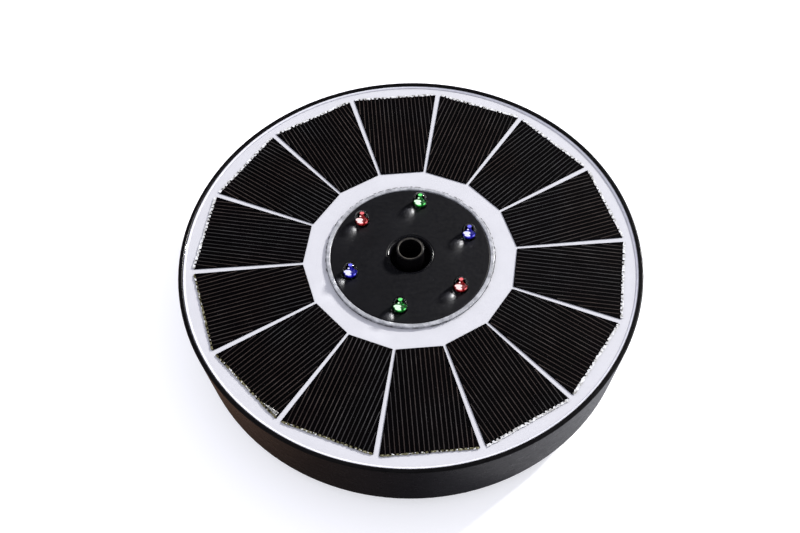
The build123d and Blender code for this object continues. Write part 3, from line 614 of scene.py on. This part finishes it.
def ribbon(made, name, dice, dull):
    """A soldered strip along the cell's outer edge, with ragged edges and beads of solder."""
    end, along, outwards, length = outer_edge(name)
    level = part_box(name)[1].z + 0.02 * MM
    inner_reach, outer_reach = (0.25, 0.35) if dull else (0.15, 0.70)
    low, high = [], []
    for step in range(RIBBON_STEPS + 1):
        at = end + along * (length * (0.01 + 0.98 * step / RIBBON_STEPS))
        out = at + outwards * (outer_reach + 0.15 * dice.uniform(-1, 1)) * MM
        inward = at - outwards * (inner_reach + 0.12 * dice.uniform(-1, 1)) * MM
        lift = RIBBON_HEIGHT * dice.uniform(0.6, 1.5)
        low.append([made.verts.new((p.x, p.y, level)) for p in (out, inward)])
        high.append([made.verts.new((p.x, p.y, level + lift)) for p in (out, inward)])
    ribbon_strip(made, low, high, 1 if dull else 0)
    for _ in range(14 if dull else 8):
        at = end + along * length * dice.uniform(0.03, 0.97) + outwards * dice.uniform(-0.1, 0.3) * MM
        size = Matrix.Diagonal((dice.uniform(0.15, 0.6) * MM, dice.uniform(0.12, 0.25) * MM, 0.14 * MM, 1))
        turn = Matrix.Rotation(math.atan2(along.y, along.x) + dice.uniform(-0.4, 0.4), 4, "Z")
        place = Matrix.Translation((at.x, at.y, level + RIBBON_HEIGHT))
        bmesh.ops.create_icosphere(made, subdivisions=2, radius=1, matrix=place @ turn @ size)


def edge_teeth(made, name, dice):
    """Chipped silicon that stands out past the cell's outer edge, one tooth a printed line, some missing."""
    end, along, outwards, length = outer_edge(name)
    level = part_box(name)[1].z + 0.03 * MM
    top = level + RIBBON_HEIGHT * 1.55
    root = 0.3 * MM
    count = int(length / FINGER_PITCH) - 1
    for tooth in range(count):
        if dice.random() < 0.25:
            continue
        at = end + along * (length / 2 + (tooth - (count - 1) / 2) * FINGER_PITCH)
        half = dice.uniform(0.16, 0.5) * MM
        reach = dice.uniform(0.05, 0.55) * MM
        outline = [at - along * half - outwards * root, at + along * half - outwards * root,
                   at + along * half * 0.5 + outwards * reach, at - along * half * 0.5 + outwards * reach]
        block(made, [(p.x, p.y, level) for p in outline], [(p.x, p.y, top) for p in outline])


def crumpled_foil(made, name, dice):
    """Loose end of ribbon, folded over the corner of one cell and narrowing to a point along its edge."""
    end, along, outwards, length = outer_edge(name)
    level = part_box(name)[1].z + 0.05 * MM
    corner = end + along * (length - 0.8 * MM)
    foil_length, foil_width, foil_gauge = 6.2 * MM, 1.5, 0.02 * MM
    columns, rows = 12, 4
    grid = []
    for column in range(columns + 1):
        line = []
        for row in range(rows + 1):
            far = column / columns
            inset = 0.15 + foil_width * row / rows * (1 - far) ** 0.6 + 0.12 * dice.uniform(-1, 1)
            at = corner - along * (foil_length * far) - outwards * inset * MM
            line.append((at.x, at.y, level + 0.11 * MM * (1 + dice.uniform(-1, 1))))
        grid.append(line)
    top = [[made.verts.new(p) for p in line] for line in grid]
    under = [[made.verts.new((x, y, level - foil_gauge)) for x, y, _ in line] for line in grid]
    for c in range(columns):
        for r in range(rows):
            made.faces.new((top[c][r], top[c + 1][r], top[c + 1][r + 1], top[c][r + 1]))
            made.faces.new((under[c][r], under[c][r + 1], under[c + 1][r + 1], under[c + 1][r]))
    rim = [(c, 0) for c in range(columns)] + [(columns, r) for r in range(rows)]
    rim += [(c, rows) for c in range(columns, 0, -1)] + [(0, r) for r in range(rows, 0, -1)]
    for (c0, r0), (c1, r1) in zip(rim, rim[1:] + rim[:1]):
        made.faces.new((under[c0][r0], under[c1][r1], top[c1][r1], top[c0][r0]))


def solar_cells():
    """The printed lines on each cell, and what lies along the cells' outer edges."""
    silver, foil, silicon = finger_silver(), foil_silver(), nodes[CELL_NAMES[0]].data.materials[0]
    for number, name in enumerate(CELL_NAMES, 1):
        dice = random.Random(99 + number)
        piece = f"finger_lines_{number:02d}"
        add_mesh(piece, lambda m: finger_lines(m, name, dice), silver, "float", smooth=False)

    def all_ribbons(made):
        dice = random.Random(7)
        for number, name in enumerate(CELL_NAMES, 1):
            ribbon(made, name, dice, number in DULL_EDGES)

    def all_teeth(made):
        dice = random.Random(8)
        for name in CELL_NAMES:
            edge_teeth(made, name, dice)

    strips = add_mesh("edge_ribbons", all_ribbons, (bright_ribbon(), dull_ribbon()), "float", smooth=False)
    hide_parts("cell_ribbons")
    add_mesh("edge_teeth", all_teeth, silicon, "float", smooth=False)
    add_mesh("crumpled_foil", lambda m: crumpled_foil(m, FOIL_CELL, random.Random(3)), foil, "float")


solar_cells()


# ---- lights -------------------------------------------------------------------------------------

LED_COLOURS = {                 # body of the glow, pastel of its painted highlights
    "led_red": ((1.0, 0.006, 0.012), (1.0, 0.20, 0.22)),
    "led_green": ((0.0, 1.0, 0.08), (0.18, 1.0, 0.24)),
    "led_blue": ((0.02, 0.01, 1.0), (0.20, 0.20, 1.0)),
}
LED_BODY_GLOW = {"led_red": 0.15, "led_green": 0.07, "led_blue": 0.22}
LED_ORDER = ("led_blue", "led_green", "led_red", "led_blue", "led_green", "led_red")
LED_R = 2.5 * MM
GLOW_FOOT = 3.9                 # height of the glow's foot above the LED's foot, in millimetres
SPILL_PLACE = Vector((-2.5, -1.9, 1.9)) * MM          # from the LED's axis at the plate's face
SPILL_AXIS = Vector((0.55, 0.62, 0.75))               # from the lit patch back towards the spotlight
plate_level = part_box("centre_plate")[1].z


def lens_outline(low, high, flange):
    """Outline of a 5 mm LED from the middle of its foot to the top of its dome."""
    dome = LED_R * 0.98
    flange_top = low + MM
    bevel = 0.1 * MM
    points = [
        (0, low), (flange, low), (flange, flange_top - bevel), (flange - bevel, flange_top),
        (LED_R, flange_top),
    ]
    steps = 14
    for step in range(steps):
        turn = math.pi / 2 * step / steps
        points.append((LED_R * math.cos(turn), high - dome + dome * math.sin(turn)))
    points.append((0, high))
    return points


def leadframe(made, centre, low):
    """The two posts inside a lens; the wider one carries the die."""
    x, y = centre
    half_gauge = 0.22
    for offset, half_width, top in ((-0.45, 0.6, 3.4), (0.95, 0.25, 3.6)):
        outline = []
        for side, front in ((-1, -1), (1, -1), (1, 1), (-1, 1)):
            outline.append((x + (offset + side * half_width) * MM, y + front * half_gauge * MM))
        foot = [(a, b, low + 0.05 * MM) for a, b in outline]
        block(made, foot, [(a, b, low + top * MM) for a, b in outline])


def blob(made, place, radii, material_index):
    """A smooth lump that glows as a painted highlight."""
    matrix = Matrix.Translation(place) @ Matrix.Diagonal((*radii, 1))
    known = set(made.faces)
    bmesh.ops.create_icosphere(made, subdivisions=3, radius=1, matrix=matrix)
    for face in made.faces:
        if face not in known:
            face.material_index = material_index


def glow_body(made, centre, low):
    """The coloured light that fills a lens: a column that leans back as it narrows towards the dome."""
    profile = (
        (0, GLOW_FOOT), (1.0, GLOW_FOOT), (1.15, 4.3), (1.05, 4.9), (0.8, 5.4),
        (0.62, 5.8), (0.50, 6.2), (0.40, 6.5), (0.2, 6.7), (0, 6.75),
    )
    known = set(made.verts)
    lathe(made, [(radius * MM, low + height * MM) for radius, height in profile], centre, 28)
    for vertex in made.verts:
        if vertex not in known:
            rise = (vertex.co.z - low) / MM - GLOW_FOOT
            vertex.co += Vector((0.03 * rise, 0.22 * rise - 0.2, 0)) * MM


def painted_highlight_blobs(made, centre, low):
    """Painted highlights in the lens, made to glow: the key light's highlight at the top, a small glint, and
    patches of light gathered from the floor lower down. Material 0 is pastel and 1 nearly white.
    """
    x, y = centre
    for dx, dy, height, radii, index in (
        (0.10, 0.84, 7.05, (0.54, 0.36, 0.36), 0),
        (-0.66, -0.60, 6.20, (0.98, 0.40, 0.42), 1),
        (-0.50, -0.95, 5.62, (0.78, 0.32, 0.36), 1),
        (-0.15, -1.15, 5.20, (0.50, 0.26, 0.32), 0),
        (1.22, -1.00, 5.30, (0.40, 0.34, 0.46), 0),
        (-0.32, -0.10, 6.98, (0.24, 0.18, 0.20), 1),
    ):
        blob(made, (x + dx * MM, y + dy * MM, low + height * MM), [r * MM for r in radii], index)


def lights():
    """A clear lens with its leadframe, its glow, its painted highlights and the light that it spills, in
    place of each CAD LED.
    """
    glass = lens_epoxy()
    bodies, painted_highlights = {}, {}
    for colour, (deep, highlight_pastel) in LED_COLOURS.items():
        white_highlight_tint = tuple(0.65 + 0.35 * c for c in highlight_pastel)
        bodies[colour] = led_glow(f"{colour}_glow", deep, LED_BODY_GLOW[colour])
        painted_highlights[colour] = (
            # painted highlights that glow: pastel ones, and nearly white ones for the glint and the bright
            # patches low in the lens
            led_glow(f"{colour}_spot", highlight_pastel, 1.1), led_glow(f"{colour}_core", white_highlight_tint, 1.25)
        )
    for number, colour in enumerate(LED_ORDER, 1):
        name = f"led_{number}"
        low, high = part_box(name)
        centre = ((low.x + high.x) / 2, (low.y + high.y) / 2)
        outline = lens_outline(low.z, high.z, (high.x - low.x) / 2)
        lens = add_mesh(f"{name}_lens", lambda m: lathe(m, outline, centre, 40), glass, "float")
        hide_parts(name)
        add_mesh(f"{name}_leadframe", lambda m: leadframe(m, centre, low.z), TIN, "float", smooth=False)
        add_mesh(f"{name}_glow", lambda m: glow_body(m, centre, low.z), bodies[colour], "float")
        add_mesh(f"{name}_spots", lambda m: painted_highlight_blobs(m, centre, low.z), painted_highlights[colour], "float")
        spill_light(f"{name}_spill", centre)


def spill_light(name, centre):
    """A small fixed spotlight for the patch that a lens throws on the plate, away from the key light."""
    data = bpy.data.lights.new(name, "SPOT")
    data.energy = 0.0019
    data.spot_size = math.radians(95)
    data.spot_blend = 0.9
    data.shadow_soft_size = 0.3 * MM
    light = bpy.data.objects.new(name, data)
    bpy.context.scene.collection.objects.link(light)
    light.location = Vector((*centre, plate_level)) + SPILL_PLACE
    light.rotation_mode = "QUATERNION"
    light.rotation_quaternion = SPILL_AXIS.to_track_quat("Z", "Y")


lights()


# ---- filter sponge ------------------------------------------------------------------------------


def sponge():
    """Open-cell foam disc in the strainer: a cut block of foam, its skin eaten by open pores."""
    outline = bmesh.new()
    outline.from_mesh(nodes["filter_sponge"].data)
    mesh = bpy.data.meshes.new("foam_filter")
    outline.to_mesh(mesh)
    outline.free()
    mesh.materials.append(open_cell_foam())
    piece = bpy.data.objects.new("foam_filter", mesh)
    bpy.context.scene.collection.objects.link(piece)
    fine = piece.modifiers.new("fine_skin", "REMESH")
    fine.mode = "VOXEL"
    fine.voxel_size = 0.75 * MM
    pores = bpy.data.textures.new("foam_pores", "VORONOI")
    pores.noise_scale = 2.2 * MM
    pitted = piece.modifiers.new("pitted_skin", "DISPLACE")
    pitted.texture = pores
    pitted.texture_coords = "LOCAL"
    pitted.mid_level = 1.1
    pitted.strength = 0.85 * MM
    worn = bpy.data.textures.new("foam_wear", "CLOUDS")
    worn.noise_scale = 9 * MM
    sagging = piece.modifiers.new("worn_skin", "DISPLACE")
    sagging.texture = worn
    sagging.texture_coords = "LOCAL"
    sagging.mid_level = 1.0
    sagging.strength = 0.5 * MM
    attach(piece, "strainer")
    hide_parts("filter_sponge")


sponge()


# ---- panel resin and trim -----------------------------------------------------------------------


def resin(made):
    """Clear resin over the cells, climbing a little at the ring and at the rim."""
    low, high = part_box("resin_cover")
    ring_low, ring_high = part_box("centre_ring")
    outer = (high.x - low.x) / 2
    inner = (ring_high.x - ring_low.x) / 2 + 0.1 * MM
    climb = 0.25 * MM
    flat = high.z - climb
    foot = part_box("cell_backing")[1].z - 0.05 * MM
    profile = [(outer, foot), (outer, high.z - 0.01 * MM)]
    for away, height in ((0.08, 0.72), (0.2, 0.48), (0.36, 0.26), (0.58, 0.10), (0.85, 0.02), (1.2, 0)):
        profile.append((outer - away * MM, flat + height * climb))
    for away, height in (
        (1.1, 0), (0.75, 0.02), (0.5, 0.10), (0.3, 0.26), (0.16, 0.48), (0.06, 0.72), (0, 0.96),
    ):
        profile.append((inner + away * MM, flat + height * climb))
    profile.append((inner, foot))
    lathe(made, profile + profile[:1], segments=240)


panel_resin = add_mesh("panel_resin", resin, clear_resin(), "float", smooth=False)
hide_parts("resin_cover")


def recess_lip(made):
    """Rolled edge where the centre plate turns down into the recess round the spout."""
    mouth, width, depth = 8.0 * MM, 1.1 * MM, 1.5 * MM
    top = plate_level - 0.08 * MM
    profile = [(mouth, plate_level - depth)]
    steps = 8
    for step in range(steps + 1):
        turn = math.pi / 2 * step / steps
        profile.append((mouth - width * math.cos(turn), top - depth * (1 - math.sin(turn))))
    lathe(made, profile + profile[:1], segments=96)


add_mesh("recess_lip", recess_lip, glossy_black(), "float")


def painted_gap_shade(made):
    """Broken dark line where the clear ring meets the resin: painted shade of the gap between them."""
    dice = random.Random(21)
    low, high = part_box("centre_ring")
    radius = (high.x - low.x) / 2 + 0.22 * MM
    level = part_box("resin_cover")[1].z - 0.02 * MM
    turn = 0.0
    while turn < 2 * math.pi:
        span = dice.uniform(0.4, 2.6) * MM / radius
        if dice.random() < 0.62:
            half = dice.uniform(0.07, 0.16) * MM
            aside = radius + dice.uniform(-0.05, 0.08) * MM
            steps = 4
            inner, outer = [], []
            for step in range(steps + 1):
                angle = turn + span * step / steps
                thin = half * (0.35 + 0.65 * math.sin(math.pi * step / steps))
                inner.append(((aside - thin) * math.cos(angle), (aside - thin) * math.sin(angle)))
                outer.append(((aside + thin) * math.cos(angle), (aside + thin) * math.sin(angle)))
            outline = outer + inner[::-1]
            block(made, [(x, y, level) for x, y in outline], [(x, y, level + 0.06 * MM) for x, y in outline])
        turn += span + dice.uniform(0.0, 0.8) * MM / radius


add_mesh("painted_gap_shade", painted_gap_shade, SEAL, "float", smooth=False)


def edge_bead(made):
    """Bead of white sealant in the corner between the panel's backing and the rim."""
    low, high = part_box("resin_cover")
    outer = (high.x - low.x) / 2 - 0.02 * MM
    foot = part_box("cell_backing")[1].z
    profile = [(outer, foot), (outer, foot + 0.5 * MM), (outer - 0.25 * MM, foot + 0.46 * MM),
               (outer - 0.6 * MM, foot + 0.3 * MM), (outer - 0.8 * MM, foot + 0.02 * MM)]
    lathe(made, profile + profile[:1], segments=180)


add_mesh("edge_bead", edge_bead, white_sealant(), "float")


# ---- floor and light ----------------------------------------------------------------------------


def stage():
    """A pale floor. The gloss of the object sees a painted reflection in its place, dimmer, from brown at the
    left to grey at the right.
    """
    floor_mesh = bpy.data.meshes.new("floor")
    half = 6.0
    corners = [(-half, -half, 0), (half, -half, 0), (half, half, 0), (-half, half, 0)]
    floor_mesh.from_pydata(corners, [], [(0, 1, 2, 3)])
    floor = bpy.data.objects.new("floor", floor_mesh)
    bpy.context.scene.collection.objects.link(floor)
    s = Shader("pale_floor", Roughness=0.9, Specular_IOR_Level=0.1)
    paths = s.tree.nodes.new("ShaderNodeLightPath")
    split = s.tree.nodes.new("ShaderNodeSeparateXYZ")
    s.link(s.position(), split.inputs["Vector"])
    ramp_reach = 100.0              # millimetres to each side of the middle
    across = s.spread(split.outputs["X"], 0.0, 1.0, -ramp_reach, ramp_reach)
    # painted reflection for glossy rays: brown at the left, dark in the middle, grey at the right
    painted_reflection = s.ramp(across, [
        (0.0, (0.40, 0.23, 0.14)), (0.3, (0.105, 0.074, 0.060)), (0.5, (0.085, 0.078, 0.082)),
        (0.7, (0.30, 0.30, 0.31)), (1.0, (0.52, 0.53, 0.55)),
    ])
    s.colour(s.mix(paths.outputs["Is Glossy Ray"], (0.72, 0.72, 0.72), painted_reflection))
    s.bsdf.inputs["Emission Color"].default_value = (1, 1, 1, 1)
    s.link(s.spread(paths.outputs["Is Camera Ray"], 0.0, 0.42), s.bsdf.inputs["Emission Strength"])
    floor_mesh.materials.append(s.material)


def area_light(name, azimuth, elevation, distance, size, power, colour):
    """A square light aimed at the panel. Azimuth 0 is to the right and 90 is behind the object."""
    data = bpy.data.lights.new(name, "AREA")
    data.size = size
    data.energy = power
    data.color = colour
    light = bpy.data.objects.new(name, data)
    bpy.context.scene.collection.objects.link(light)
    a, e = math.radians(azimuth), math.radians(elevation)
    way = Vector((math.cos(a) * math.cos(e), math.sin(a) * math.cos(e), math.sin(e)))
    light.location = Vector((0, 0, AIM_HEIGHT)) + way * distance
    light.rotation_mode = "QUATERNION"
    light.rotation_quaternion = way.to_track_quat("Z", "Y")


def studio():
    """A pale sky that fades to near black overhead for the gloss of the object, and one key light."""
    world = bpy.data.worlds.new("studio")
    bpy.context.scene.world = world
    world.use_nodes = True
    tree = world.node_tree
    tree.nodes.clear()
    output = tree.nodes.new("ShaderNodeOutputWorld")
    seen = tree.nodes.new("ShaderNodeBackground")
    seen.inputs["Color"].default_value = (0.96, 0.97, 1.10, 1)
    seen.inputs["Strength"].default_value = 1.1
    mirrored = tree.nodes.new("ShaderNodeBackground")
    mirrored.inputs["Strength"].default_value = 1.0
    paths = tree.nodes.new("ShaderNodeLightPath")
    coordinates = tree.nodes.new("ShaderNodeTexCoord")
    split = tree.nodes.new("ShaderNodeSeparateXYZ")
    fade = tree.nodes.new("ShaderNodeValToRGB")
    fade.color_ramp.elements[0].position = 0.12
    fade.color_ramp.elements[0].color = (0.9, 0.9, 0.92, 1)
    fade.color_ramp.elements[1].position = 0.45
    fade.color_ramp.elements[1].color = (0.010, 0.010, 0.017, 1)
    tree.links.new(coordinates.outputs["Generated"], split.inputs["Vector"])
    tree.links.new(split.outputs["Z"], fade.inputs["Fac"])
    tree.links.new(fade.outputs["Color"], mirrored.inputs["Color"])
    mixer = tree.nodes.new("ShaderNodeMixShader")
    tree.links.new(paths.outputs["Is Glossy Ray"], mixer.inputs[0])
    tree.links.new(seen.outputs["Background"], mixer.inputs[1])
    tree.links.new(mirrored.outputs["Background"], mixer.inputs[2])
    tree.links.new(mixer.outputs["Shader"], output.inputs["Surface"])
    area_light(
        "key", azimuth=37, elevation=30, distance=4.0, size=0.43, power=278.0, colour=(1.0, 0.985, 0.965)
    )


stage()
studio()
view = bpy.context.scene.view_settings
view.view_transform = "Standard"
view.look = "None"
